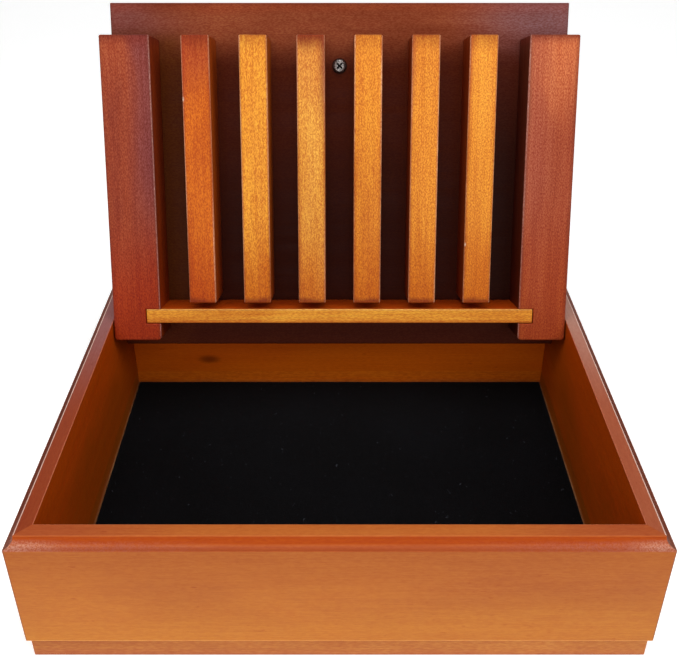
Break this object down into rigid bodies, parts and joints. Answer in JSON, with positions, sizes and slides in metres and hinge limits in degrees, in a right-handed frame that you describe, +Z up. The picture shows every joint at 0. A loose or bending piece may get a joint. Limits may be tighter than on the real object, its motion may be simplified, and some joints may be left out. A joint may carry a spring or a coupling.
{
  "type": "wooden puzzle box",
  "caption": "Stained wooden box with a cove-moulded rim, felt floor and a hinged drop-in lid that carries deep rails, upright slats and a ledge on its inside.",
  "frame": {"origin": "middle of the box footprint on its flat underside", "axes": "+X to the right seen from the front, +Y to the back where the lid is hinged, +Z up"},
  "size_m": [0.3, 0.2851, 0.2445],
  "materials": {
    "wall_wood": "satin lacquer over honey stain",
    "plinth_wood": "satin lacquer over honey stain",
    "panel_wood": "satin lacquer over dark reddish stain",
    "rail_wood": "satin lacquer over red-brown stain",
    "slat_wood": "satin lacquer over golden stain",
    "ledge_wood": "satin lacquer over golden stain",
    "floor_wood": "bare thin board",
    "felt": "black felt on card",
    "pin_steel": "bright steel",
    "screw_steel": "dark oxide coated steel"
  },
  "bodies": {
    "box": {"front_wall": "wall_wood", "plinth_front": "plinth_wood", "back_wall": "wall_wood", "plinth_back": "plinth_wood", "left_wall": "wall_wood", "plinth_left": "plinth_wood", "right_wall": "wall_wood", "plinth_right": "plinth_wood", "floor_panel": "floor_wood", "felt_pad": "felt", "lid_rest_cleat": "wall_wood", "pivot_pin_left": "pin_steel", "pivot_pin_right": "pin_steel", "pivot_plug_left": "wall_wood", "pivot_plug_right": "wall_wood"},
    "lid": {"lid_panel": "panel_wood", "left_rail": "rail_wood", "right_rail": "rail_wood", "ledge_board": "ledge_wood", "lid_knob": "rail_wood", "knob_screw": "screw_steel", "slat_1": "slat_wood", "slat_2": "slat_wood", "slat_3": "slat_wood", "slat_4": "slat_wood", "slat_5": "slat_wood", "slat_6": "slat_wood"}
  },
  "joints": [
    {"name": "lid_hinge", "type": "hinge", "parent": "box", "child": "lid", "pos_m": [0, 0.0878, 0.0635], "axis": [1, 0, 0], "range_deg": [0, 109.44]}
  ]
}
